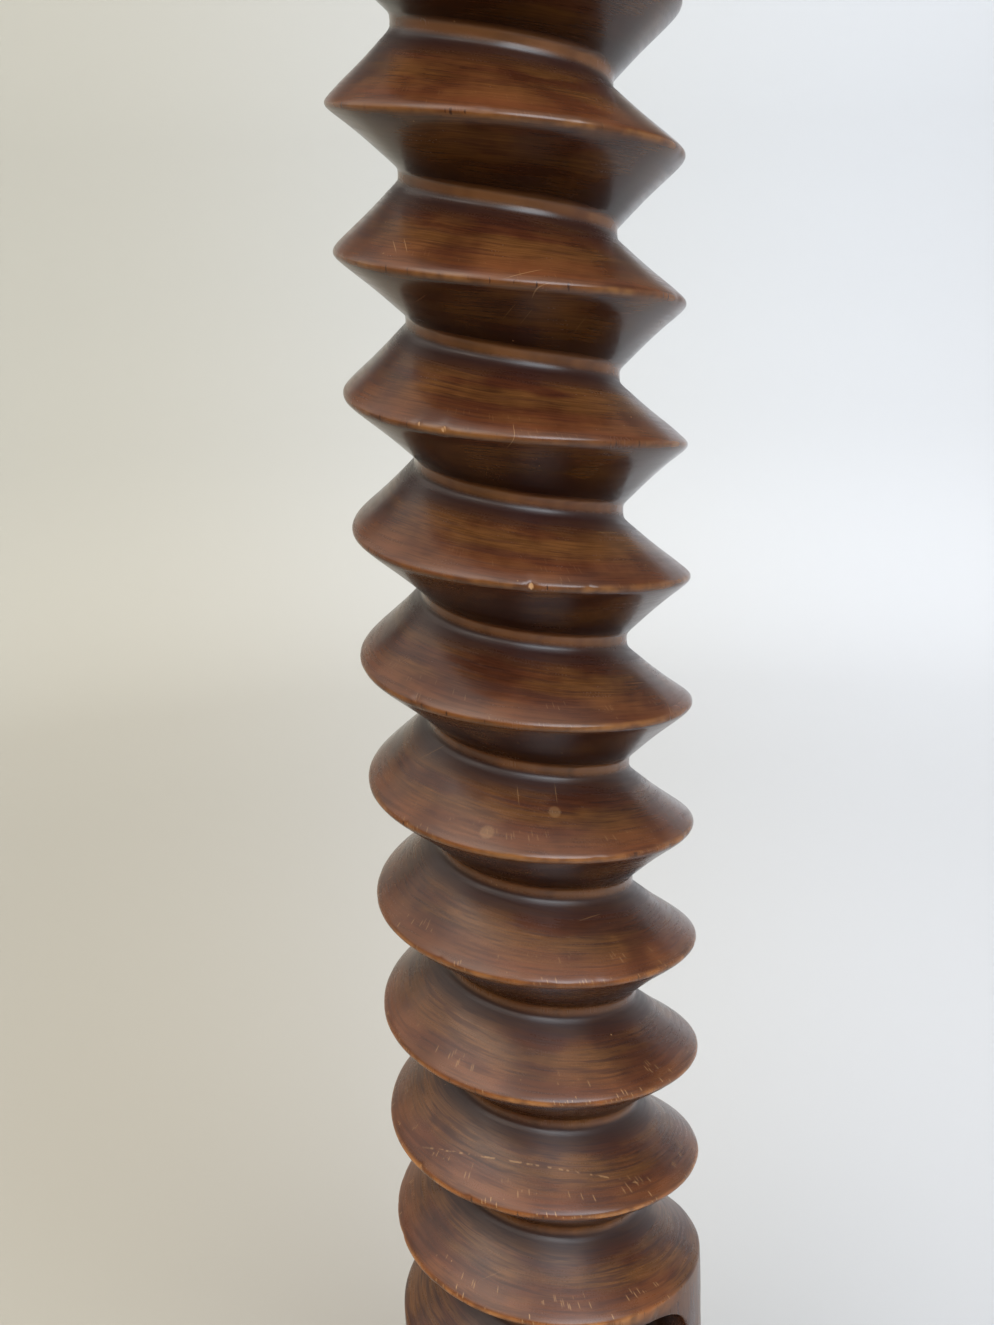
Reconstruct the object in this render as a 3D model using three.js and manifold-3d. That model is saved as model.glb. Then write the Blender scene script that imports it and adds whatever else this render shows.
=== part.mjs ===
// A screw of an old wooden press, standing as a column: one length of dark wood, turned round and
// carved with a deep left-hand V thread above a plain round head. Millimetres, +Z up, the front faces
// -Y, the origin is under the foot.
import * as THREE from "three";
import { mergeVertices } from "three/addons/utils/BufferGeometryUtils.js";
import Module from "manifold-3d";

// Turned wood: a straight head, and above it a shank that grows a little slimmer upwards
const HEIGHT = 1150;
const HEAD_RADIUS = 100;
const TOP_RADIUS = 94.4;
const FOOT_CHAMFER = 5;
const LEAD_IN_RADIUS = 80; // the sawn top is this wide, so that the thread could enter its nut
const LEAD_IN_HEIGHT = 18;

// Thread: a groove that falls to the right by one pitch a turn
const PITCH = 75.9;
const ROOT_RADIUS = 61.4; // beside a ridge of the head's radius
const ROOT_LAND = 8; // flat bottom of the groove
const CREST_LAND = 2.4; // flat top of the ridge
const CREST_EASE = 6.4; // the rounded top of the ridge, from flank to flank
const EASE_DEPTH = 1.4; // how far that rounding drops below the top

// The groove's rounded end, where it runs out into the head
const STOP_ANGLE = 37.5; // degrees to the right of the front
const STOP_HEIGHT = 256;
const STOP_WIDTH = 59; // the groove narrows to this
const STOP_REACH = 37; // how far the rounded end runs on past that place
const NARROWING_ANGLE = 45; // degrees of the groove over which it narrows

// Facets
const SIDES = 48;
const STOP_SIDES = 32;

const CLEAR = 8; // how far a cutter stands out of the wood
const WOOD = { color: 0x6b3a22, roughness: 0.42, metalness: 0 };

const stepAngle = (2 * Math.PI) / SIDES;
const stopAngle = THREE.MathUtils.degToRad(STOP_ANGLE);
const narrowingSteps = (SIDES * NARROWING_ANGLE) / 360;
const stopNarrowing = STOP_WIDTH / (PITCH - CREST_LAND);

const wasm = await Module();
wasm.setup();

// A closed three.js geometry as a solid for joining and cutting.
function solidFrom(geometry) {
  const shell = geometry.clone();
  shell.deleteAttribute("normal");
  shell.deleteAttribute("uv");
  const merged = mergeVertices(shell, 1e-4);
  const mesh = new wasm.Mesh({
    numProp: 3,
    vertProperties: merged.attributes.position.array,
    triVerts: new Uint32Array(merged.index.array),
  });
  return new wasm.Manifold(mesh);
}

// A solid as a three.js geometry with flat facets.
function geometryFrom(solid) {
  const mesh = solid.getMesh();
  const geometry = new THREE.BufferGeometry();
  geometry.setAttribute("position", new THREE.BufferAttribute(mesh.vertProperties, 3));
  geometry.setIndex(new THREE.BufferAttribute(mesh.triVerts, 1));
  return geometry.toNonIndexed();
}

// The straight round blank: a chamfered foot and a short cone at the sawn top.
function turnedBlank() {
  const topShare = TOP_RADIUS / HEAD_RADIUS;
  const outline = [
    new THREE.Vector2(0, 0),
    new THREE.Vector2(HEAD_RADIUS - FOOT_CHAMFER, 0),
    new THREE.Vector2(HEAD_RADIUS, FOOT_CHAMFER),
    new THREE.Vector2(HEAD_RADIUS, HEIGHT - LEAD_IN_HEIGHT),
    new THREE.Vector2(LEAD_IN_RADIUS / topShare, HEIGHT),
    new THREE.Vector2(0, HEIGHT),
  ];
  const blank = new THREE.LatheGeometry(outline, SIDES, stopAngle);
  return blank.rotateX(Math.PI / 2);
}

// Slims the carved blank: full width up to the stop, then tapering evenly to the top.
function slimmed(geometry) {
  const points = geometry.getAttribute("position");
  for (let i = 0; i < points.count; i += 1) {
    const climb = Math.max(0, (points.getZ(i) - STOP_HEIGHT) / (HEIGHT - STOP_HEIGHT));
    const share = THREE.MathUtils.lerp(1, TOP_RADIUS / HEAD_RADIUS, climb);
    points.setXY(i, points.getX(i) * share, points.getY(i) * share);
  }
  return geometry;
}

// The groove's section, as distance from the column's axis and height over the groove's middle: out
// along the lower flank, round outside the wood, and back along the upper flank to the root.
function grooveSection() {
  const lip = (CREST_LAND - PITCH) / 2;
  const lowerHalf = [
    [ROOT_RADIUS, -ROOT_LAND / 2],
    [HEAD_RADIUS - EASE_DEPTH, (CREST_EASE - PITCH) / 2],
    [HEAD_RADIUS, lip],
    [HEAD_RADIUS + CLEAR, lip],
  ];
  const upperHalf = lowerHalf.map(([radius, height]) => [radius, -height]).reverse();
  return [...lowerHalf, ...upperHalf];
}

// Sweeps the section down the thread, from one step to another. Step 0 is the stop, and each step is
// one facet; steps above the stop are negative, and each falls to the right. The groove keeps its
// depth as it narrows to the stop.
function sweptGroove(firstStep, lastStep) {
  const section = grooveSection();
  const corners = section.length;
  const positions = [];
  for (let step = firstStep; step <= lastStep; step += 1) {
    const angle = stopAngle + step * stepAngle;
    const middle = STOP_HEIGHT - (step * PITCH) / SIDES;
    const narrowed = THREE.MathUtils.smoothstep(step, -narrowingSteps, 0);
    const width = THREE.MathUtils.lerp(1, stopNarrowing, narrowed);
    for (const [radius, height] of section)
      positions.push(radius * Math.sin(angle), -radius * Math.cos(angle), middle + height * width);
  }
  const faces = [];
  for (let step = 0; step < lastStep - firstStep; step += 1) {
    for (let corner = 0; corner < corners; corner += 1) {
      const a = step * corners + corner;
      const b = step * corners + ((corner + 1) % corners);
      faces.push(a, a + corners, b, b, a + corners, b + corners);
    }
  }
  const sectionShape = section.map(([radius, height]) => new THREE.Vector2(radius, height));
  const lastRing = (lastStep - firstStep) * corners;
  for (const [a, b, c] of THREE.ShapeUtils.triangulateShape(sectionShape, [])) {
    faces.push(a, b, c);
    faces.push(lastRing + a, lastRing + c, lastRing + b);
  }
  const groove = new THREE.BufferGeometry();
  groove.setAttribute("position", new THREE.Float32BufferAttribute(positions, 3));
  groove.setIndex(faces);
  return groove;
}

// An oval plug that points at the axis and leans with the thread: it limits the last stretch of the
// groove to a rounded end with straight walls.
function stopPlug() {
  const leadAngle = Math.atan(PITCH / (2 * Math.PI * HEAD_RADIUS));
  const oval = new THREE.Shape();
  oval.absellipse(0, 0, STOP_REACH, STOP_WIDTH / 2, 0, 2 * Math.PI, false, -leadAngle);
  const plug = new THREE.ExtrudeGeometry(oval, {
    depth: HEAD_RADIUS + CLEAR,
    bevelEnabled: false,
    curveSegments: STOP_SIDES,
  });
  const along = new THREE.Vector3(Math.cos(stopAngle), Math.sin(stopAngle), 0);
  const up = new THREE.Vector3(0, 0, 1);
  const outward = new THREE.Vector3(Math.sin(stopAngle), -Math.cos(stopAngle), 0);
  const placed = new THREE.Matrix4().makeBasis(along, up, outward);
  placed.setPosition(0, 0, STOP_HEIGHT);
  return plug.applyMatrix4(placed);
}

function pressScrew() {
  const stepsToTop = Math.ceil(((HEIGHT - STOP_HEIGHT) / PITCH + 1) * SIDES);
  const stepsPastStop = Math.ceil((2 * STOP_REACH) / (HEAD_RADIUS * stepAngle));
  const thread = solidFrom(sweptGroove(-stepsToTop, 0));
  const lastStretch = solidFrom(sweptGroove(-1, stepsPastStop));
  const roundedEnd = lastStretch.intersect(solidFrom(stopPlug()));
  const carved = solidFrom(turnedBlank()).subtract(thread).subtract(roundedEnd);
  const shape = slimmed(geometryFrom(carved));
  shape.computeVertexNormals();
  const column = new THREE.Mesh(shape, new THREE.MeshStandardMaterial(WOOD));
  column.name = "press_screw";
  return column;
}

const part = new THREE.Group();
part.add(pressScrew());
export default part;
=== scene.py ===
# %% [markdown]
# # An old wooden press screw that stands as a column
# The object is one length of dark, waxed hardwood. A deep left-hand V thread is carved round it, and
# the thread runs out into a plain round head, on which the screw now stands. The screw once drove a
# wine or oil press.
#
# This lesson builds its looks in cells: first the fixed frame and the camera, then the carved wood as
# one mesh, then the wood's finish, and last a plain studio. Lengths in the carving cells are
# millimetres, as on a drawing, and they are turned into metres where the mesh is made.

# %% Load the fixed frame
import math

import bmesh
import bpy
import numpy as np
from mathutils import Matrix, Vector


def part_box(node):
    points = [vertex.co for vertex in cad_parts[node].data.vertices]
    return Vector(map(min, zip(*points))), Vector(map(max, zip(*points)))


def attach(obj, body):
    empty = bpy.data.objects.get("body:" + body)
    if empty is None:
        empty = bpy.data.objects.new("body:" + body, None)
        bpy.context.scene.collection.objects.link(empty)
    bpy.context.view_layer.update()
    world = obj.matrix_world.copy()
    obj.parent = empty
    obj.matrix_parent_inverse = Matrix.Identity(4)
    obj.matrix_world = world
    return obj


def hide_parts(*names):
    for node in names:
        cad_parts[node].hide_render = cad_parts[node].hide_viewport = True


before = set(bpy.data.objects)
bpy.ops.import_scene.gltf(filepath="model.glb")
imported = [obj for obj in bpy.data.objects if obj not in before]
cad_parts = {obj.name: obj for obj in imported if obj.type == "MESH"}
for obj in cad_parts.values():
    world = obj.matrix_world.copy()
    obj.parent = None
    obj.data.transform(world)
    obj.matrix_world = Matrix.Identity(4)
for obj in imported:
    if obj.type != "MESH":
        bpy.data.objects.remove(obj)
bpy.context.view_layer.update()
MM = 0.001
low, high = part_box("press_screw")
HEIGHT = high[2] / MM
HEAD_RADIUS = (high[0] - low[0]) / 2 / MM
print(f"The screw stands {HEIGHT:.0f} mm high and is {2 * HEAD_RADIUS:.0f} mm across")

# %% [markdown]
# ## The camera
# A photo's viewing angle is part of its look. The eye here is 930 mm above the foot and 826 mm in
# front of the axis, so it looks level at the upper ridges and down on the lower ones. The numbers come
# from matching the ridges' outlines. One could also set a camera by eye.

# %% Place the camera
PHOTO_HEIGHT = 1325  # pixels
FOCAL_LENGTH = 1455  # in the photo's pixels
SENSOR = 36  # mm along the photo's long side
EYE = (0, -0.8257, 0.930)  # metres
TILT_DOWN = 16.26  # degrees, as the next two are
TURN_LEFT = 1.197
LEAN = 2.664  # the photo is held a little crooked

camera_data = bpy.data.cameras.new("camera")
camera_data.sensor_width = SENSOR
camera_data.lens = FOCAL_LENGTH / PHOTO_HEIGHT * SENSOR
camera = bpy.data.objects.new("camera", camera_data)
turned = Matrix.Rotation(math.radians(TURN_LEFT), 4, "Z")
tilted = Matrix.Rotation(math.radians(90 - TILT_DOWN), 4, "X")
leaned = Matrix.Rotation(math.radians(-LEAN), 4, "Z")
camera.matrix_world = Matrix.Translation(EYE) @ turned @ tilted @ leaned
bpy.context.scene.collection.objects.link(camera)
bpy.context.scene.camera = camera
print(f"The lens has a focal length of {camera_data.lens:.1f} mm")

# %% [markdown]
# ## The thread's section
# The carver left a narrow worn ridge, two straight flanks and a flat root between them. Such a section
# could be drawn as a bevelled curve, or cut with booleans as the plain solid was. Here it is a formula:
# the depth of the wood's surface below the blank, from the height across the groove. A formula can
# round an edge and hollow a flank exactly where the real one is worn, and every point of the mesh can
# ask it.

# %% Sizes of the thread
PITCH = 75.9
ROOT_RADIUS = 61.4  # where the ridges have the head's radius
ROOT_LAND = 8
CREST_LAND = 2.4  # the ridge's top before it wore round
CREST_EASE = 6.4  # the ridge's rounded top, from flank to flank
EASE_DEPTH = 1.4
EASE_POWER = 2.5
ROOT_FILLET = 2.6
FLANK_HOLLOW = 0.9
GROOVE_DEPTH = HEAD_RADIUS - ROOT_RADIUS

FLANK_SLOPE = (GROOVE_DEPTH - EASE_DEPTH) / ((PITCH - CREST_EASE - ROOT_LAND) / 2)
EDGE_EASE = FLANK_SLOPE * CREST_EASE / 2 - EASE_DEPTH
print(f"The flanks fall {FLANK_SLOPE:.2f} mm for each mm across the groove")


# %% The section as a formula
def smooth_min(a, b, reach):
    """The smaller of two depths, with a fillet where they cross."""
    overlap = np.maximum(reach - np.abs(a - b), 0) / reach
    return np.minimum(a, b) - overlap * overlap * reach / 4


def smooth_step(low_end, high_end, value):
    """0 at the low end and 1 at the high end, with a soft start and stop."""
    share = np.clip((value - low_end) / (high_end - low_end), 0, 1)
    return share * share * (3 - 2 * share)


def worn_edge(distance):
    """How far the surface has dropped at a distance from the top of the ridge."""
    return ((FLANK_SLOPE * distance) ** EASE_POWER + EDGE_EASE**EASE_POWER) ** (1 / EASE_POWER) - EDGE_EASE


def groove_depth(across, width):
    """Depth below the blank, at a height over the groove's middle. The width is a share of the full one."""
    from_ridge = np.maximum(PITCH / 2 - np.abs(across) / width, 0)
    flank = worn_edge(from_ridge)
    down_the_flank = np.clip(flank / GROOVE_DEPTH, 0, 1)
    flank = flank + FLANK_HOLLOW * np.sin(math.pi * down_the_flank) ** 2
    return smooth_min(flank, GROOVE_DEPTH, ROOT_FILLET)


print(f"Half way between two ridges it is {float(groove_depth(0, 1)):.1f} mm deep")

# %% [markdown]
# ## Where the groove ends
# Low on the right of the front the last groove stops dead in the head. The carver left a rounded pocket
# there with straight walls, not a long run-out. Its wall is one more depth: none outside the oval, all
# of the groove inside it, with a small worn radius at the rim. The same oval is in the plain solid.

# %% The rounded end of the groove
STOP_ANGLE = 37.5  # degrees to the right of the front
STOP_HEIGHT = 256
STOP_WIDTH = 59
STOP_REACH = 37
NARROWING_ANGLE = 45
WALL_SLOPE = 27  # mm down for each mm along: nearly straight
RIM_RADIUS = 1.5
WIDEST_WALL = 0.95  # of the radius: keeps the wall's angle under a quarter turn
WIDENING = (0.8, 1.6)  # radians past the stop, where there is only the plain head
STOP_SHARE = STOP_WIDTH / (PITCH - CREST_LAND)


def groove_width(along):
    """The groove's width as a share of the full one, at an angle past the stop (negative above it)."""
    narrowing = smooth_step(-math.radians(NARROWING_ANGLE), 0, along)
    widening = smooth_step(*WIDENING, along)
    return 1 + (STOP_SHARE - 1) * (narrowing - widening)


def wall_angle(across, radius):
    """The angle past the stop at which the end wall stands, at a radius."""
    half_width = STOP_WIDTH / 2
    oval = np.sqrt(np.clip(1 - (across / half_width) ** 2, 0, 1))
    return np.arcsin(np.clip(STOP_REACH * oval / radius, 0, WIDEST_WALL))


def wall_depth(past_wall):
    """Depth allowed by the end wall, at a distance past it. It is negative inside the groove."""
    round_part = RIM_RADIUS - np.clip(past_wall, 0, RIM_RADIUS)
    eased = RIM_RADIUS - np.sqrt(np.maximum(RIM_RADIUS**2 - round_part**2, 0))
    return eased + WALL_SLOPE * np.maximum(-past_wall, 0)


print(f"The groove ends {math.degrees(float(wall_angle(0, HEAD_RADIUS))):.0f} degrees past the stop")

# %% [markdown]
# ## Hand work and wear
# The screw was cut by hand and has been knocked about for a hundred years. No two turns are alike: the
# ridge wanders by half a millimetre, the flanks are a little wavy, and small chips are missing from the
# edge. A displacement modifier with a texture could do this, but then the chips couldn't be put in
# their places. So a sum of a few slow waves moves the surface, and each chip is a small dent in the
# same depth formula.

# %% Slow waves and the taper
TOP_RADIUS = 94.4
WAVES = 9


def slow_waves(x, y, z, size, seed):
    """A smooth, uneven field between about -1 and 1, whose humps are about size mm across."""
    draw = np.random.default_rng(seed)
    total = np.zeros(np.shape(x))
    for _ in range(WAVES):
        direction = draw.normal(size=3)
        direction /= np.linalg.norm(direction)
        length = size * draw.uniform(1.4, 3.0)
        phase = draw.uniform(0, 2 * math.pi)
        distance = x * direction[0] + y * direction[1] + z * direction[2]
        total += np.sin(2 * math.pi * distance / length + phase)
    return total / math.sqrt(WAVES * 2)


def taper(z):
    """The shank's width at a height as a share of the head's: it slims from the stop upwards."""
    climb = np.clip((z - STOP_HEIGHT) / (HEIGHT - STOP_HEIGHT), 0, 1)
    return 1 + (TOP_RADIUS / HEAD_RADIUS - 1) * climb


print(f"At the top the shank has {float(taper(HEIGHT)):.0%} of the head's width")

# %% Chips along the ridge
# Each is: ridge counted up from the stop, degrees to the right of the front, mm above the edge, width
# and depth.
SEEN_CHIPS = [
    (7, -31.7, 1.0, 3.0, 1.3),
    (7, -22.8, 0.5, 4.0, 1.5),
    (6, 2.5, 0.3, 3.2, 1.8),
    (6, 21.0, 0.0, 2.4, 0.7),
    (5, -39.2, 1.5, 2.6, 1.0),
    (5, 30.0, -0.5, 2.4, 0.6),
    (4, -47.0, 0.5, 2.8, 1.0),
    (3, -35.0, 0.0, 3.0, 0.8),
    (1, -51.5, 1.0, 2.8, 1.1),
    (1, -28.7, 0.5, 2.6, 0.8),
]
CHIP_HEIGHT = 2.2  # mm up and down from a chip's middle
WORN_CHIPS = 90  # small ones, anywhere on the ridge
WORN_CHIP_SPREAD = 1.2  # mm above or below the edge
WORN_CHIP_WIDTH = (3.5, 8)
WORN_CHIP_DEPTH = (0.2, 0.8)
RIDGES = 12


def ridge_angle(ridge, right_of_front):
    """Where a place on a ridge lies along the thread, as an angle past the stop."""
    return math.radians(right_of_front - STOP_ANGLE - 360 * ridge)


def all_chips():
    """The chips as (angle along the ridge, mm above the edge, width, depth)."""
    chips = [(ridge_angle(ridge, right), up, width, depth) for ridge, right, up, width, depth in SEEN_CHIPS]
    draw = np.random.default_rng(11)
    for _ in range(WORN_CHIPS):
        angle = draw.uniform(-2 * math.pi * RIDGES, 0)
        up = draw.normal(0, WORN_CHIP_SPREAD)
        chips.append((angle, up, draw.uniform(*WORN_CHIP_WIDTH), draw.uniform(*WORN_CHIP_DEPTH)))
    return chips


CHIPS = all_chips()
print(f"{len(CHIPS)} chips along {RIDGES} turns of the ridge")


# %% The depth of the chips
CHIP_LIMIT = 12  # mm from the edge, which no chip reaches


def chip_depth(ridge_place, above_edge):
    """How deep the chips are, at an angle along the ridge and a height over its edge."""
    depth = np.zeros(np.shape(ridge_place))
    near_edge = np.abs(above_edge) < CHIP_LIMIT
    for angle, up, width, deep in CHIPS:
        beside = (ridge_place - angle) * HEAD_RADIUS
        near = near_edge & (np.abs(beside) < 3 * width)
        spread = (beside[near] / (width / 2)) ** 2 + ((above_edge[near] - up) / CHIP_HEIGHT) ** 2
        depth[near] = np.maximum(depth[near], deep * np.exp(-spread))
    return depth


print(f"The deepest chip takes {max(deep for *_, deep in CHIPS):.1f} mm off the ridge")

# %% [markdown]
# ## The carved surface as one mesh
# A screw's surface is a strip wound round the axis: one strip runs down the groove from ridge to ridge,
# and the last row of a turn meets the first row of the turn above it. Such a strip could be a profile
# swept by a screw modifier, but a modifier can't end the groove in a pocket. So the strip's points are
# worked out here. Rows lie close together on the rounded ridge and far apart on the straight flanks,
# and columns gather at the pocket's wall and at the chips.

# %% Rows and columns of the strip
COLUMNS = 208  # in each turn
TURNS_ABOVE = 12.4
TURNS_BELOW = 3.9
FROM_RIDGE = [0.8, 1.7, 2.7, 4.0, 6.5, 10.5, 15, 19.5, 24, 28.5, 31.5, 33.5, 35.2]  # mm

lower_half = [-(PITCH / 2 - distance) for distance in FROM_RIDGE]
upper_half = [-height for height in reversed(lower_half)]
ROWS = np.array([-PITCH / 2] + lower_half + [0] + upper_half)
STEPS = np.arange(-round(TURNS_ABOVE * COLUMNS), round(TURNS_BELOW * COLUMNS)) * 2 * math.pi / COLUMNS
print(f"{len(STEPS)} columns of {len(ROWS)} rows")

# %% Gather the columns where detail is small
WALL_REACH = 0.12  # radians to each side of the pocket's wall
WALL_GATHERING = 0.8  # 0 leaves the columns in place, and 1 would draw them all to the middle
CHIP_GATHERING = 0.7
CHIP_ROWS = 14  # mm from the ridge
BENT_ROUND_WALL = 0.8  # radians to each side, over which the columns follow the pocket's wall


def gathered(along, centre, reach, strength):
    """Draws angles towards a centre, so that they lie closer together there."""
    offset = along - centre
    return along - strength * offset * np.exp(-((offset / reach) ** 2))


def hump(share):
    """1 in the middle, falling smoothly to 0 at -1 and 1."""
    return np.cos(np.clip(share, -1, 1) * math.pi / 2) ** 2


def strip_grid():
    """Angle along the groove and height across it, for each column and row."""
    along, rows = np.meshgrid(STEPS, ROWS, indexing="ij")
    across = rows * np.where(rows == -PITCH / 2, 1, groove_width(along))
    wall_share = 1 - smooth_step(STOP_WIDTH / 2, PITCH / 2, np.abs(across))
    along = gathered(along, 0, WALL_REACH, WALL_GATHERING * wall_share)
    for ridge, right, _, width, _ in SEEN_CHIPS:
        place = ridge_angle(ridge, right)
        place = np.where(rows > 0, place, place - 2 * math.pi)
        near_ridge = np.exp(-(((PITCH / 2 - np.abs(rows)) / CHIP_ROWS) ** 2))
        along = gathered(along, place, 3 * width / HEAD_RADIUS, CHIP_GATHERING * near_ridge)
    along = along + hump(along / BENT_ROUND_WALL) * wall_angle(across, HEAD_RADIUS)
    return along, across


# %% The short cone at the sawn top
LEAD_IN_RADIUS = 80  # at the very top
LEAD_IN_HEIGHT = 18
LEAD_IN_FILLET = 1.5


def lead_in_depth(z):
    """Depth of the cone, which let the thread enter its nut."""
    full_depth = HEAD_RADIUS - LEAD_IN_RADIUS * HEAD_RADIUS / TOP_RADIUS
    return full_depth * np.clip((z - HEIGHT) / LEAD_IN_HEIGHT + 1, -1, 2)


print(f"The cone takes {TOP_RADIUS - LEAD_IN_RADIUS:.0f} mm off the ridge at the top")

# %% Carve the strip
LONG_WAVES = 0.315  # mm in and out
SHORT_WAVES = 0.126
WANDER = 0.7  # mm that the ridge strays up and down
WANDER_FADES = 12  # mm deep in the groove, where it has faded out
PLANED_OFF = 0.3  # mm all over, so that the waves don't outgrow the plain solid
BENT_UNDER_RIM = 1.2  # radians to each side of the pocket's wall


def carved_points():
    """The strip's points in mm."""
    along, across = strip_grid()
    past_wall = (along - wall_angle(across, HEAD_RADIUS)) * HEAD_RADIUS
    depth = np.minimum(groove_depth(across, groove_width(along)), wall_depth(past_wall))
    z = STOP_HEIGHT - PITCH * along / (2 * math.pi) + across
    depth = -smooth_min(-depth, -lead_in_depth(z), LEAD_IN_FILLET)
    turn = math.radians(STOP_ANGLE) + along
    x = HEAD_RADIUS * np.sin(turn)
    y = -HEAD_RADIUS * np.cos(turn)

    in_groove = smooth_step(0, WANDER_FADES, depth)
    ridge_place = np.where(across > 0, along, along + 2 * math.pi)
    above_edge = np.where(across > 0, across - PITCH / 2, across + PITCH / 2)
    uneven = LONG_WAVES * slow_waves(x, y, z, 70, seed=1) + SHORT_WAVES * slow_waves(x, y, z, 18, seed=2)
    wander = WANDER * slow_waves(x, y, z, 90, seed=3) * (1 - in_groove)
    chips = chip_depth(ridge_place, above_edge)
    radius = HEAD_RADIUS - depth - PLANED_OFF + uneven - chips

    # the pocket's walls are parallel, so deep down they stand at a wider angle than at the surface
    wider = wall_angle(across, radius) - wall_angle(across, HEAD_RADIUS)
    turn = turn + np.where(depth > 0.5, wider * hump(along / BENT_UNDER_RIM), 0)
    radius = radius * taper(z)
    return radius * np.sin(turn), -radius * np.cos(turn), z + wander


# %% Join the strip's points into faces
def carved_faces():
    """Each face joins two rows and two columns. The last row joins the first row of the turn above."""
    columns, rows = len(STEPS), len(ROWS)
    index = np.arange(columns * rows).reshape(columns, rows)
    left, right = index[:-1], index[1:]
    corners = [left[:, :-1], left[:, 1:], right[:, 1:], right[:, :-1]]
    within = np.stack(corners, axis=-1).reshape(-1, 4)
    top_left, top_right = index[COLUMNS:-1, -1], index[COLUMNS + 1 :, -1]
    above_left, above_right = index[: -COLUMNS - 1, 0], index[1:-COLUMNS, 0]
    between_turns = np.stack([top_left, above_left, above_right, top_right], axis=-1)
    return np.concatenate([within, between_turns])


x, y, z = carved_points()
wood_mesh = bpy.data.meshes.new("press_screw_wood")
points = np.stack([x, y, z], axis=-1).reshape(-1, 3) * MM
wood_mesh.from_pydata(points, [], carved_faces())
print(f"The strip has {len(wood_mesh.polygons)} faces")

# %% [markdown]
# ## The sawn top and the foot
# The strip runs on past both ends, and two flat cuts trim it, as a saw would. Each cut leaves one open
# edge loop. Rings drawn inwards from that loop make the eased rim and the sawn face. A plain fill would
# be one huge face, which shades badly and could not carry the drying cracks that run out from the
# heart.

# %% Rims and drying cracks
# A rim is: mm inwards, and mm before the sawn face.
FOOT_RIM = [(0, 7.0), (0.4, 5.2), (1.6, 3.6), (4.0, 1.2), (5.0, 0.35), (6.2, 0)]
TOP_RIM = [(0, 1.6), (0.4, 0.7), (1.2, 0.15), (2.2, 0)]
INNER_RINGS = [tenths / 10 for tenths in range(9, 0, -1)]  # shares of the face's radius
# A crack is: degrees round the face, depth in mm, and length as a share of the face's radius.
CRACKS = [
    (20, 1.6, 0.75),
    (96, 1.0, 0.9),
    (151, 2.2, 0.45),
    (214, 1.3, 0.8),
    (297, 1.9, 0.6),
    (338, 0.8, 0.9),
]
CRACK_HALF_WIDTH = 0.035  # radians


def crack_depth(angle, share):
    """Depth of the cracks on an end face, at an angle and a share of the face's radius."""
    depth = np.zeros(np.shape(angle))
    for degrees, deep, length in CRACKS:
        off = np.abs((angle - math.radians(degrees) + math.pi) % (2 * math.pi) - math.pi)
        opening = np.clip(1 - off / CRACK_HALF_WIDTH, 0, 1) * smooth_step(1 - length, 1, share)
        depth = np.maximum(depth, deep * opening)
    return depth


# %% Trim an end
END_REACH = 12  # mm: an open edge nearer to an end than this belongs to it


def trim(mesh, height, keep_below):
    """Cuts the mesh level at a height, and keeps what is below or above it."""
    everything = mesh.verts[:] + mesh.edges[:] + mesh.faces[:]
    cut = {"plane_co": (0, 0, height * MM), "plane_no": (0, 0, 1 if keep_below else -1)}
    bmesh.ops.bisect_plane(mesh, geom=everything, dist=1e-7, clear_outer=True, **cut)


def open_loop(mesh, height):
    """The open edge's points near a height, in order round the axis."""
    on_edge = {vertex for edge in mesh.edges if edge.is_boundary for vertex in edge.verts}
    loop = [vertex for vertex in on_edge if abs(vertex.co.z / MM - height) < END_REACH]
    return sorted(loop, key=lambda vertex: math.atan2(vertex.co.y, vertex.co.x))


# %% Close an end
def close_end(mesh, height, rim, inwards):
    """Adds the rim's rings and the sawn face. Inwards is -1 at the top, and 1 at the foot."""
    loop = open_loop(mesh, height)
    start = np.array([vertex.co for vertex in loop]) / MM
    radius = np.hypot(start[:, 0], start[:, 1])
    angle = np.arctan2(start[:, 1], start[:, 0])
    rings = [(radius - inset, 1.0, height + inwards * rise) for inset, rise in rim[1:]]
    rings += [((radius - rim[-1][0]) * share, share, height) for share in INNER_RINGS]
    previous = loop
    for ring_radius, share, level in rings:
        sunk = crack_depth(angle, share) if level == height else 0
        ring_z = np.broadcast_to(level + inwards * sunk, angle.shape)
        ring_x = ring_radius * np.cos(angle)
        ring_y = ring_radius * np.sin(angle)
        ring = [mesh.verts.new(place) for place in np.stack([ring_x, ring_y, ring_z], axis=-1) * MM]
        for i, vertex in enumerate(ring):
            before = i - 1
            mesh.faces.new((previous[before], previous[i], vertex, ring[before]))
        previous = ring
    heart = mesh.verts.new((0, 0, height * MM))
    for i, vertex in enumerate(previous):
        mesh.faces.new((previous[i - 1], vertex, heart))


# %% Trim and close both ends
carving = bmesh.new()
carving.from_mesh(wood_mesh)
trim(carving, HEIGHT - TOP_RIM[0][1], keep_below=True)
trim(carving, FOOT_RIM[0][1], keep_below=False)
close_end(carving, HEIGHT, TOP_RIM, inwards=-1)
close_end(carving, 0, FOOT_RIM, inwards=1)
bmesh.ops.recalc_face_normals(carving, faces=carving.faces[:])
carving.to_mesh(wood_mesh)
open_edges = sum(edge.is_boundary for edge in carving.edges)
triangles = sum(len(face.verts) - 2 for face in carving.faces)
carving.free()
wood_mesh.shade_smooth()
print(f"{triangles} triangles, {open_edges} open edges")

# %% [markdown]
# ## One piece in the frame
# It rides on the root body, because nothing on this object moves.

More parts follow.
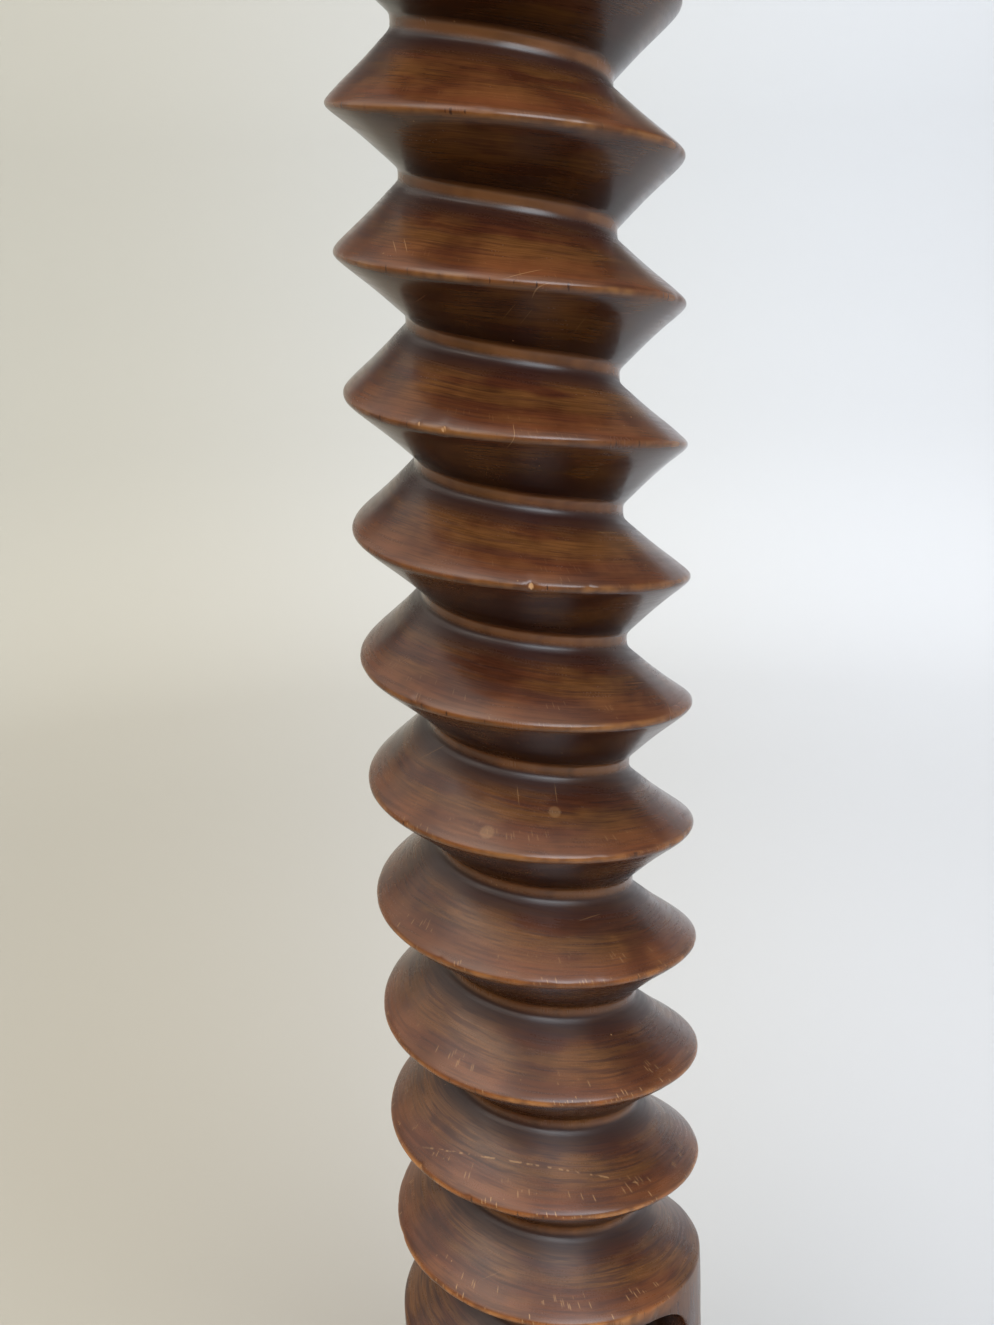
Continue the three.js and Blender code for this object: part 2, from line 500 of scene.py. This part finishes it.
# %% Put the wood in the frame
wood = bpy.data.objects.new("press_screw_wood", wood_mesh)
bpy.context.scene.collection.objects.link(wood)
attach(wood, "root")
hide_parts("press_screw")
print(f"{wood.name} stands for the plain solid press_screw")

# %% [markdown]
# ## Where the finish is worn, and where shade and light are painted
# Hands and knocks rub the stain off the ridge, so that orange wood shows there. The root of the groove
# is painted paler for the light on it, and painted shade darkens the corners above and below it, the
# flanks that face down and the deep pocket. Such marks could be painted by hand. Here they are worked
# out from each point's own place on the thread and kept as attributes on the mesh, which the material
# reads.


# %% Find a point's place on the thread
def thread_place(x, y, z):
    """The angle past the stop and the height over the groove's middle, in mm, for points in mm."""
    turn = np.arctan2(x, -y) - math.radians(STOP_ANGLE)
    turns = np.round((STOP_HEIGHT - z) / PITCH - turn / (2 * math.pi))
    along = turn + 2 * math.pi * turns
    return along, z - (STOP_HEIGHT - PITCH * along / (2 * math.pi))


def band(value, rise, fall):
    """1 between two soft borders, each given as where it starts and ends."""
    return smooth_step(*rise, value) * (1 - smooth_step(*fall, value))


def keep_attribute(name, values):
    """Stores a value for each point of the wood."""
    layer = wood_mesh.attributes.new(name, "FLOAT", "POINT")
    layer.data.foreach_set("value", np.ascontiguousarray(values, dtype=np.float32))
    print(f"{name}: {np.mean(values):.2f} on average")


_, over_the_middle = thread_place(0, -HEAD_RADIUS, HEIGHT / 2)
print(f"Half way up the front it is {over_the_middle:.0f} mm from the middle of the groove")


# %% Measure every point of the wood
flat = np.empty(len(wood_mesh.vertices) * 3)
wood_mesh.vertices.foreach_get("co", flat)
wood_x, wood_y, wood_z = flat.reshape(-1, 3).T / MM
along, across = thread_place(wood_x, wood_y, wood_z)
deep = HEAD_RADIUS - np.hypot(wood_x, wood_y) / taper(wood_z)
on_the_side = wood_z < HEIGHT - 1
threaded = (1 - smooth_step(-0.05, 0.25, along)) * on_the_side
from_ridge = PITCH / 2 - np.abs(across)
ridge_place = np.where(across > 0, along, along + 2 * math.pi)
above_edge = np.where(across > 0, across - PITCH / 2, across + PITCH / 2)
ridge_here = (1 - smooth_step(0.1, 0.4, ridge_place)) * on_the_side
print(f"{np.mean(threaded):.0%} of the points are on the thread")

# %% Wear on the ridge
# The distances here and in the next cell are millimetres across the groove.
keep_attribute("edge_wear", np.exp(-(((above_edge + 0.2) / 1.9) ** 4)) * ridge_here)
keep_attribute("along_ridge", ridge_place * HEAD_RADIUS * MM)
keep_attribute("above_edge", above_edge * MM)
keep_attribute("rubbed_flank", (1 - smooth_step(5, 17, from_ridge)) * (across < 0) * ridge_here)
keep_attribute("bare_wood", chip_depth(ridge_place, above_edge))

# %% Painted shade, and painted light at the root
# painted light: the root strip is paler for the light that falls on it
keep_attribute("root_land", np.exp(-(((across - 1.8) / 2.7) ** 4)) * threaded)
# painted shade and painted reflection: the band just below the root, under the ridge above, is darkened
keep_attribute("corner_shade", band(across, (-15, -7), (-3, -0.5)) * threaded)
# painted shade: the inner part of the flank just above the root, under the ridge, is darkened
keep_attribute("upper_corner_shade", band(across, (3.5, 5.5), (8, 17)) * threaded)
# painted shade: the flanks that face down are darkened, most of all near the root
shaded = smooth_step(3, 6, across) * smooth_step(2, 5, from_ridge) * threaded
keep_attribute("shaded_flank", shaded * (1 - 0.5 * smooth_step(8, 26, across)))
# painted shade: the deep pocket where the groove ends is darkened
pocket = smooth_step(-0.5, 0.3, along) * smooth_step(1, 0.7, along)
keep_attribute("pocket_shade", smooth_step(6, 30, deep) * pocket)

# %% The plain head and the sawn top
end_grain = 1 - on_the_side
cracked = crack_depth(np.arctan2(wood_y, wood_x), np.hypot(wood_x, wood_y) / LEAD_IN_RADIUS)
keep_attribute("plain_head", (1 - threaded) * on_the_side)
keep_attribute("end_grain", end_grain)
keep_attribute("cracked", cracked * end_grain)

# %% [markdown]
# ## The finish: stained, waxed hardwood
# The wood's colour comes from its growth rings, from the grain that runs up the tree, and from the old
# stain and wax on top. A picture of wood wrapped round the screw would stretch on the flanks. A solid
# pattern doesn't: the rings are cylinders round the tree's heart, and wherever the carver cut, the
# surface shows the right streaks by itself. On the flanks the rings come out as fine lines along the
# thread, and on the sawn top as circles.

# %% Small helpers for building node trees
material = bpy.data.materials.new("dark_waxed_wood")
material.use_nodes = True
tree = material.node_tree
tree.nodes.clear()


def place_value(socket, value):
    """Gives a socket a plain value, or links it to another node's output."""
    if isinstance(value, bpy.types.NodeSocket):
        tree.links.new(value, socket)
    else:
        socket.default_value = value


def calculate(operation, first, second=0.0):
    """One step of arithmetic on numbers or outputs."""
    made = tree.nodes.new("ShaderNodeMath")
    made.operation = operation
    place_value(made.inputs[0], first)
    place_value(made.inputs[1], second)
    return made.outputs[0]


def plus(first, second):
    return calculate("ADD", first, second)


def times(first, second):
    return calculate("MULTIPLY", first, second)


# %% Helpers for vectors
def vector_math(operation, first, second=(0, 0, 0)):
    """One step of arithmetic on vectors. Lengths, distances and dot products come out as numbers."""
    made = tree.nodes.new("ShaderNodeVectorMath")
    made.operation = operation
    place_value(made.inputs[0], first)
    place_value(made.inputs[1], second)
    gives_number = operation in ("LENGTH", "DISTANCE", "DOT_PRODUCT")
    return made.outputs["Value" if gives_number else "Vector"]


def scaled(vector, factors):
    return vector_math("MULTIPLY", vector, factors)


# %% Helpers for colours and noise
def mixed(share, first, second, blend="MIX"):
    """The first colour with a share of the second laid over it."""
    made = tree.nodes.new("ShaderNodeMix")
    made.data_type = "RGBA"
    made.blend_type = blend
    made.clamp_factor = True
    place_value(made.inputs["Factor"], share)
    place_value(made.inputs[6], first)
    place_value(made.inputs[7], second)
    return made.outputs[2]


def tinted(colour, tint):
    """A colour multiplied by another one, or by a number."""
    return mixed(1, colour, tint, "MULTIPLY")


def ranged(value, from_low, from_high, to_low=0.0, to_high=1.0):
    """Turns one range of values into another, with soft ends."""
    made = tree.nodes.new("ShaderNodeMapRange")
    made.interpolation_type = "SMOOTHSTEP"
    place_value(made.inputs["Value"], value)
    place_value(made.inputs["From Min"], from_low)
    place_value(made.inputs["From Max"], from_high)
    place_value(made.inputs["To Min"], to_low)
    place_value(made.inputs["To Max"], to_high)
    return made.outputs["Result"]


def noise(where, up_the_grain=None, detail=2.0, roughness=0.5):
    """Noise from 0 to 1. A fourth value lets the pattern change slowly up the grain."""
    made = tree.nodes.new("ShaderNodeTexNoise")
    made.noise_dimensions = "3D" if up_the_grain is None else "4D"
    place_value(made.inputs["Vector"], where)
    if up_the_grain is not None:
        place_value(made.inputs["W"], up_the_grain)
    made.inputs["Scale"].default_value = 1
    made.inputs["Detail"].default_value = detail
    made.inputs["Roughness"].default_value = roughness
    return made.outputs["Fac"]


def attribute(name):
    made = tree.nodes.new("ShaderNodeAttribute")
    made.attribute_name = name
    return made.outputs["Fac"]


# %% Growth rings round the heart
HEART = (0.002, 0.004, 0)  # metres: the tree's heart isn't quite on the turner's axis
WOBBLE = (0.007, 0.007, 0)  # how far the rings stray from true circles

point = tree.nodes.new("ShaderNodeTexCoord").outputs["Object"]
wobble = tree.nodes.new("ShaderNodeTexNoise")
wobble.inputs["Scale"].default_value = 1
place_value(wobble.inputs["Vector"], scaled(point, (9, 9, 2.2)))
bend = scaled(vector_math("SUBTRACT", wobble.outputs["Color"], (0.5, 0.5, 0.5)), WOBBLE)
from_heart = vector_math("SUBTRACT", vector_math("ADD", point, bend), HEART)
ring = vector_math("LENGTH", scaled(from_heart, (1, 1, 0)))
parts = tree.nodes.new("ShaderNodeSeparateXYZ")
place_value(parts.inputs[0], point)
at_x, at_y, at_z = parts.outputs[0], parts.outputs[1], parts.outputs[2]


def streaks(length, spacing, rise, detail=1.0, roughness=0.55):
    """Streaks along the rings, in metres: their length round the tree, their spacing and their height."""
    where = tree.nodes.new("ShaderNodeCombineXYZ")
    place_value(where.inputs[0], calculate("DIVIDE", at_x, length))
    place_value(where.inputs[1], calculate("DIVIDE", at_y, length))
    place_value(where.inputs[2], calculate("DIVIDE", ring, spacing))
    return noise(where.outputs[0], calculate("DIVIDE", at_z, rise), detail, roughness)


# %% [markdown]
# ### Streaks, grain and patches
# On the plain head the turner's cut runs along the grain, so the streaks there stand upright. One
# could give the head its own material, but a seam would show. Here every set of streaks is swapped for
# an upright one by a value that rises from 0 to 1 where the thread ends.

# %% Upright grain, and uneven patches
fibre = noise(scaled(point, (1100, 1100, 30)), detail=1)
checks = ranged(noise(scaled(point, (520, 520, 24)), detail=0), 0.71, 0.77)
blotches = noise(scaled(point, (28, 28, 28)), detail=3)
knocks = noise(scaled(point, (75, 75, 75)), detail=2)
head_grain = noise(scaled(point, (170, 170, 5)), detail=3, roughness=0.6)


def upright_on_the_head(streak):
    """Swaps streaks along the rings for upright ones on the plain head."""
    difference = calculate("SUBTRACT", head_grain, streak)
    return plus(streak, times(difference, attribute("plain_head")))


# %% Four sets of streaks
fine = upright_on_the_head(streaks(0.020, 0.00060, 0.10, detail=2))
medium = upright_on_the_head(streaks(0.032, 0.0014, 0.22, detail=2, roughness=0.65))
broad = upright_on_the_head(streaks(0.055, 0.0090, 0.28))
flecks = upright_on_the_head(streaks(0.008, 0.00050, 0.05))
print(f"The wood's pattern is made of {len(tree.nodes)} nodes")

# %% [markdown]
# ### The stain
# The stain is a deep red-brown, and the wood under it is more golden. Each layer below is laid over the
# last, as a finisher would do it: the wood's own broad colours, then plum-dark streaks, then fine ones
# that only change the tone, and last some bright and dark flecks. The lower turns were handled most.
# A value called worn says so, and they come out a little paler, with stronger streaks.

# %% Colours of the wood and its stain
STAIN = (0.098, 0.0280, 0.0110, 1)
GOLD = (0.150, 0.0570, 0.0165, 1)
PLUM = (0.050, 0.0130, 0.0080, 1)
# this dark serves the dark flecks, checks and cracks, and also the painted shade above the root
DARK_MARK_AND_SHADE = (0.018, 0.0050, 0.0028, 1)
FLECK = (0.250, 0.0950, 0.0250, 1)
ALL_WORN = 0.20  # metres above the foot
LEAST_WORN = 0.90

worn = ranged(at_z, ALL_WORN, LEAST_WORN, 1, 0)
patches = plus(times(broad, 0.6), times(blotches, 0.4))
colour = mixed(ranged(patches, 0.42, 0.58), STAIN, GOLD)
plum_share = times(ranged(medium, 0.50, 0.62, 0, 0.66), ranged(worn, 0, 1, 0.60, 1))
colour = mixed(plum_share, colour, PLUM)
colour = tinted(colour, ranged(fine, 0.32, 0.68, 0.78, 1.22))
colour = mixed(ranged(flecks, 0.64, 0.78, 0, 0.28), colour, FLECK)
colour = mixed(ranged(flecks, 0.36, 0.24, 0, 0.30), colour, DARK_MARK_AND_SHADE)
tone = times(ranged(blotches, 0.32, 0.68, 0.80, 1.20), ranged(worn, 0, 1, 0.60, 0.78))
colour = tinted(colour, tone)

# %% [markdown]
# ### Wear, painted shade and painted light
# The same layers go on: painted shade on the flanks that face down and in the corners of the groove,
# painted light on the root between them, and the orange wood that shows where the ridge is rubbed
# through, made brighter on the lower turns as a painted highlight. The attributes say where, and a
# little noise keeps every border uneven.

# %% Paint shade on the underside and in the corners
UNDERSIDE_SHADE = (0.60, 0.53, 0.25, 1)
CORNER_SHADE = (0.024, 0.0075, 0.0062, 1)

# painted shade on the flanks that face down
colour = mixed(attribute("shaded_flank"), colour, tinted(colour, UNDERSIDE_SHADE))
# painted shade on the flank just above the root
colour = mixed(times(attribute("upper_corner_shade"), 0.55), colour, DARK_MARK_AND_SHADE)
# painted shade and reflection, plum-dark, just below the root
corner_shade_share = times(attribute("corner_shade"), ranged(blotches, 0.3, 0.6, 0.60, 0.92))
colour = mixed(corner_shade_share, colour, CORNER_SHADE)
print(f"With the painted shading there are {len(tree.nodes)} nodes")

# %% Paint light on the root, and rub the ridge through
RUBBED = (0.185, 0.0560, 0.0210, 1)
ROOT_LIGHT = (0.240, 0.0950, 0.0330, 1)
EDGE = (0.480, 0.2000, 0.0600, 1)
EDGE_DEEP = (0.320, 0.1050, 0.0240, 1)

rubbed_share = times(attribute("rubbed_flank"), ranged(medium, 0.35, 0.65, 0.75, 0.35))
colour = mixed(rubbed_share, colour, tinted(RUBBED, tone))
# painted light on the root, less of it on the lower turns
root_light_share = times(ranged(medium, 0.38, 0.62, 0.35, 0.80), ranged(worn, 0, 1, 0.85, 0.40))
colour = mixed(times(attribute("root_land"), root_light_share), colour, ROOT_LIGHT)
edge_wear_and_highlight = mixed(ranged(blotches, 0.35, 0.65), EDGE, EDGE_DEEP)
# the worn orange ridge, made brighter on the lower turns as a painted highlight
edge_wear_and_highlight = tinted(edge_wear_and_highlight, ranged(worn, 0, 1, 0.45, 0.95))
edge_share = times(attribute("edge_wear"), ranged(knocks, 0.36, 0.64, 0.95, 0.25))
colour = mixed(edge_share, colour, edge_wear_and_highlight)
edge_checks = times(times(checks, ranged(blotches, 0.45, 0.58)), attribute("edge_wear"))
colour = mixed(times(edge_checks, 0.8), colour, DARK_MARK_AND_SHADE)
print(f"With the wear there are {len(tree.nodes)} nodes")

# %% [markdown]
# ### Scratches and knocks
# A hundred years of handling left hair-thin scratches, pale specks where the varnish has popped off,
# nicks across the ridge, two round rubbed spots and one long dotted scratch. Each is a distance turned
# into a thin mask. For specks it is the distance to the middle of the nearest cell. Squashed cells turn
# the specks into thin discs, and a disc cuts the wood in a straight hairline. For the spots it is the
# distance to a chosen point on the flank, and for the long scratch to a plane that cuts the flank.

# %% Specks
def cells_at(where, share, flat_cells=False):
    """The distance to the middle of the nearest cell, and 1 in the share of cells that hold a mark."""
    cells = tree.nodes.new("ShaderNodeTexVoronoi")
    cells.voronoi_dimensions = "2D" if flat_cells else "3D"
    cells.inputs["Scale"].default_value = 1
    place_value(cells.inputs["Vector"], where)
    # each cell has a random colour, which is read as one number here
    return cells.outputs["Distance"], calculate("LESS_THAN", cells.outputs["Color"], share)


def specks(cell, radius, share):
    """Small round spots, in metres: the size of the cells that may hold one, and its radius."""
    distance, chosen = cells_at(scaled(point, (1 / cell, 1 / cell, 1 / cell)), share)
    return times(ranged(distance, radius / cell, radius / cell * 0.6), chosen)


# %% Nicks and scratches
DISC = 0.3  # a scratch's reach, as a share of a cell


def ridge_nicks(spacing, length, share):
    """Short nicks that cross the ridge, in metres. Their cells lie along the ridge and lean a little."""
    where = tree.nodes.new("ShaderNodeCombineXYZ")
    above = calculate("DIVIDE", attribute("above_edge"), length)
    place_value(where.inputs[0], plus(calculate("DIVIDE", attribute("along_ridge"), spacing), above))
    place_value(where.inputs[1], above)
    distance, chosen = cells_at(where.outputs[0], share, flat_cells=True)
    return times(ranged(distance, 0.22, 0.10), chosen)


def scratches(turned, reach, thickness, share):
    """Straight scratches, in metres. Each is where a thin disc, turned by three angles, cuts the wood."""
    turner = tree.nodes.new("ShaderNodeVectorRotate")
    turner.rotation_type = "EULER_XYZ"
    place_value(turner.inputs["Vector"], point)
    turner.inputs["Rotation"].default_value = [math.radians(angle) for angle in turned]
    squashed = scaled(turner.outputs[0], (DISC / reach, DISC / reach, DISC / thickness))
    distance, chosen = cells_at(squashed, share)
    return times(ranged(distance, DISC, DISC * 0.6), chosen)


# %% The marks that can be told one by one
def flank_point(ridge, right_of_front, above_edge):
    """A point on the upper flank of a ridge, in metres, at a height above its edge in mm."""
    place = ridge_angle(ridge, right_of_front)
    z = STOP_HEIGHT - PITCH * place / (2 * math.pi) + PITCH / 2 + above_edge
    radius = (HEAD_RADIUS - float(groove_depth(above_edge - PITCH / 2, 1))) * float(taper(z))
    turn = math.radians(right_of_front)
    return np.array([radius * math.sin(turn), -radius * math.cos(turn), z]) * MM


SCRATCH = [flank_point(1, -47.3, 11.4), flank_point(1, -7.3, 19.7), flank_point(1, 30.5, 13.0)]
RUBBED_SPOTS = [(flank_point(4, 9.5, 20.0), 0.0042), (flank_point(4, -16.4, 8.7), 0.0050)]


def long_scratch(start, middle, end):
    """A dotted scratch along the plane through three points."""
    across_plane = np.cross(middle - start, end - start)
    across_plane /= np.linalg.norm(across_plane)
    up_to_here = vector_math("DOT_PRODUCT", point, tuple(across_plane))
    off = calculate("ABSOLUTE", calculate("SUBTRACT", up_to_here, float(across_plane @ middle)))
    line = ranged(off, 0.0007, 0.0003)
    reach = ranged(vector_math("DISTANCE", point, tuple(middle)), 0.078, 0.060)
    dots = ranged(noise(scaled(point, (260, 260, 60)), detail=1), 0.50, 0.60)
    return times(times(line, reach), dots)


print(f"The long scratch is {np.linalg.norm(SCRATCH[2] - SCRATCH[0]) / MM:.0f} mm from end to end")


# %% Lay the scratches, specks and nicks over the wear
PALE = (0.42, 0.23, 0.10, 1)
SCRATCH_SHARE = 0.4

steep_scratches = scratches((35, 20, 0), 0.012, 0.00022, 0.06)
slanting_scratches = scratches((-50, 62, 25), 0.009, 0.00022, 0.07)
lines = calculate("MAXIMUM", steep_scratches, slanting_scratches)
open_side = calculate("SUBTRACT", SCRATCH_SHARE, times(attribute("shaded_flank"), SCRATCH_SHARE))
colour = mixed(times(lines, open_side), colour, PALE)
colour = mixed(times(specks(0.008, 0.0006, 0.20), ranged(worn, 0, 1, 0.3, 0.75)), colour, PALE)
nick_share = times(attribute("rubbed_flank"), ranged(worn, 0, 1, 0.06, 0.80))
nicks = ridge_nicks(0.0021, 0.0080, ranged(knocks, 0.44, 0.64, 0.06, 0.55))
colour = mixed(times(nicks, nick_share), colour, PALE)
colour = mixed(times(long_scratch(*SCRATCH), 0.5), colour, PALE)
for spot, radius in RUBBED_SPOTS:
    from_spot = vector_math("DISTANCE", point, tuple(spot))
    colour = mixed(ranged(from_spot, radius, radius * 0.6, 0, 0.2), colour, PALE)
print(f"With the scratches there are {len(tree.nodes)} nodes")

# %% Bare chips, painted shade in the pocket and the sawn top
BARE = (0.46, 0.25, 0.11, 1)
POCKET_SHADE = (0.010, 0.005, 0.004, 1)
DULL = (0.55, 0.55, 0.60, 1)

bare = times(ranged(attribute("bare_wood"), 0.7, 1.2), ranged(fibre, 0.36, 0.5))
colour = mixed(bare, colour, BARE)
# painted shade deep in the pocket
colour = mixed(attribute("pocket_shade"), colour, POCKET_SHADE)
colour = mixed(attribute("end_grain"), colour, tinted(colour, DULL))
colour = mixed(ranged(attribute("cracked"), 0.1, 0.5), colour, DARK_MARK_AND_SHADE)
print(f"With the damage there are {len(tree.nodes)} nodes")

# %% [markdown]
# ### Gloss and grain
# Old varnish is neither matt nor glassy. Its gloss changes a little with the wood under it. The lower
# turns, which are rubbed most, are duller, and so are the corners painted with shade, bare chips and the
# sawn top. One number for the whole piece would look like plastic. The bump is slight, because the real
# surface is smooth to the touch, apart from the checks across the ridge.

# %% Gloss, and the feel of the grain
VARNISH_IOR = 1.47
BUMP_STRENGTH = 0.12
BUMP_DEPTH = 0.0004  # metres

dullness = ranged(blotches, 0.3, 0.7, 0.16, 0.23)
dullness = plus(dullness, times(worn, 0.10))
dullness = plus(dullness, ranged(fibre, 0.35, 0.7, -0.015, 0.015))
dullness = plus(dullness, ranged(medium, 0.35, 0.65, -0.03, 0.04))
dullness = plus(dullness, times(attribute("corner_shade"), 0.12))
dullness = plus(dullness, times(bare, 0.3))
dullness = plus(dullness, times(attribute("end_grain"), 0.30))
bump = tree.nodes.new("ShaderNodeBump")
bump.inputs["Strength"].default_value = BUMP_STRENGTH
bump.inputs["Distance"].default_value = BUMP_DEPTH
place_value(bump.inputs["Height"], plus(times(fibre, -0.2), times(edge_checks, -1.5)))

varnish = tree.nodes.new("ShaderNodeBsdfPrincipled")
place_value(varnish.inputs["Base Color"], colour)
place_value(varnish.inputs["Roughness"], dullness)
place_value(varnish.inputs["Normal"], bump.outputs["Normal"])
varnish.inputs["IOR"].default_value = VARNISH_IOR
output = tree.nodes.new("ShaderNodeOutputMaterial")
tree.links.new(varnish.outputs["BSDF"], output.inputs["Surface"])
wood_mesh.materials.append(material)
print(f"The finish is made of {len(tree.nodes)} nodes")

# %% [markdown]
# ## A plain pale studio
# The varnish mirrors the room at its edges, so the room matters as much as the wood. A flat floor with
# a dark sky behind it would give black outlines. Here the floor curves up into a pale wall all round,
# like a photographer's cove, and its top is open to the sky.

# %% Draw the outline of the floor and its curved wall
FLOOR_RINGS = [0.4, 1.2]  # metres
FLOOR_RADIUS = 2.2  # where the curve starts
COVE_RADIUS = 1.2
WALL_TOP = 1.8
CURVE_STEPS = 16
AROUND = 128


def cove_outline():
    """The paper's radius and height, from the middle of the floor out and up."""
    outline = [(radius, 0.0) for radius in FLOOR_RINGS + [FLOOR_RADIUS]]
    for step in range(1, CURVE_STEPS + 1):
        angle = math.pi / 2 * step / CURVE_STEPS
        out = FLOOR_RADIUS + COVE_RADIUS * math.sin(angle)
        outline.append((out, COVE_RADIUS * (1 - math.cos(angle))))
    outline.append((FLOOR_RADIUS + COVE_RADIUS, WALL_TOP))
    return outline


print(f"The outline has {len(cove_outline())} points")


# %% Turn the outline into a mesh
def cove_mesh():
    """The paper: a fan of triangles in the middle, and rings of squares round it."""
    outline = cove_outline()
    places = [(0, 0, 0)]
    for radius, height in outline:
        for step in range(AROUND):
            angle = 2 * math.pi * step / AROUND
            places.append((radius * math.cos(angle), radius * math.sin(angle), height))
    faces = [(0, 1 + step, 1 + (step + 1) % AROUND) for step in range(AROUND)]
    for ring_number in range(len(outline) - 1):
        inner = 1 + ring_number * AROUND
        outer = inner + AROUND
        for step in range(AROUND):
            after = (step + 1) % AROUND
            faces.append((inner + step, outer + step, outer + after, inner + after))
    mesh = bpy.data.meshes.new("studio_floor")
    mesh.from_pydata(places, [], faces)
    mesh.shade_smooth()
    return mesh


floor = bpy.data.objects.new("studio_floor", cove_mesh())
bpy.context.scene.collection.objects.link(floor)
print(f"The paper has {len(floor.data.polygons)} faces")

# %% [markdown]
# ### The paper
# Behind the screw the photo goes from cream on the left to a cool white on the right. Two coloured lamps
# could do that, but they would colour the wood as well. So the paper itself is painted, with a soft
# change from left to right. The far floor and the curve face the light more than the wall does, and
# they are painted a little darker, so that all of it comes out even.

# %% Paint the paper
CREAM = (0.46, 0.43, 0.365, 1)
COOL_WHITE = (0.62, 0.64, 0.68, 1)
PAPER_ROUGHNESS = 0.9

paper = bpy.data.materials.new("pale_paper")
paper.use_nodes = True
tree = paper.node_tree  # the small helpers build in this tree from here
matt = tree.nodes["Principled BSDF"]
place = tree.nodes.new("ShaderNodeTexCoord").outputs["Object"]
from_eye = scaled(vector_math("SUBTRACT", place, EYE), (1, 1, 0))
distance = plus(vector_math("LENGTH", from_eye), 0.5)
to_the_right = calculate("DIVIDE", vector_math("DOT_PRODUCT", from_eye, (1, 0, 0)), distance)
paper_colour = mixed(ranged(to_the_right, -0.30, 0.30), CREAM, COOL_WHITE)
height = vector_math("DOT_PRODUCT", place, (0, 0, 1))
from_middle = vector_math("LENGTH", scaled(place, (1, 1, 0)))
floor_share = ranged(from_middle, 0.5, 1.8, 1.13, 0.97)
wall_share = times(ranged(height, 0, 0.5, 1, 0.86), ranged(height, 0.7, 1.5, 1, 1.10))
place_value(matt.inputs["Base Color"], tinted(paper_colour, times(floor_share, wall_share)))
matt.inputs["Roughness"].default_value = PAPER_ROUGHNESS
floor.data.materials.append(paper)
print(f"The paper's colour is made of {len(tree.nodes)} nodes")

# %% [markdown]
# ### The light
# All the light comes from the sky over the paper wall: a broad front light, a cool window to the right
# of the camera, and two weaker patches on the left. Lamps could stand there instead, but patches of sky
# have soft borders of themselves, and the varnish mirrors them just as softly.

# %% Light the room
DAYLIGHT = (1.0, 0.95, 0.88, 1)
WINDOW_COLOUR = (0.85, 0.93, 1.0, 1)
FRONT_LIGHT = (0, -0.75, 0.66)  # these four are directions from the screw
WINDOW = (0.44, -0.75, 0.50)
SKYLIGHT = (-0.42, -0.42, 0.80)
SIDE_DOOR = (-0.80, 0.15, 0.58)
OPEN_SKY = 0.2  # the least light from anywhere

sky = bpy.data.worlds.new("sky")
sky.use_nodes = True
tree = sky.node_tree
background = tree.nodes["Background"]
direction = tree.nodes.new("ShaderNodeTexCoord").outputs["Generated"]


def soft_patch(towards, edge, strength):
    """A patch of sky that fades out to an edge, which is the cosine of the angle to its middle."""
    return ranged(vector_math("DOT_PRODUCT", direction, towards), edge, 1.0, 0, strength)


low_sky = ranged(vector_math("DOT_PRODUCT", direction, (0, 0, 1)), 0.45, 0.15, 0, 0.5)
light = plus(low_sky, OPEN_SKY)
light = plus(light, soft_patch(FRONT_LIGHT, 0.25, 1.15))
light = plus(light, soft_patch(SKYLIGHT, 0.86, 2.0))
light = plus(light, soft_patch(SIDE_DOOR, 0.80, 1.0))
light = plus(light, soft_patch(WINDOW, 0.86, 5.6))
place_value(background.inputs["Strength"], light)
light_colour = mixed(soft_patch(WINDOW, 0.84, 2.0), DAYLIGHT, WINDOW_COLOUR)
place_value(background.inputs["Color"], light_colour)
bpy.context.scene.world = sky
bpy.context.scene.view_settings.view_transform = "Standard"
print(f"The sky is made of {len(tree.nodes)} nodes")
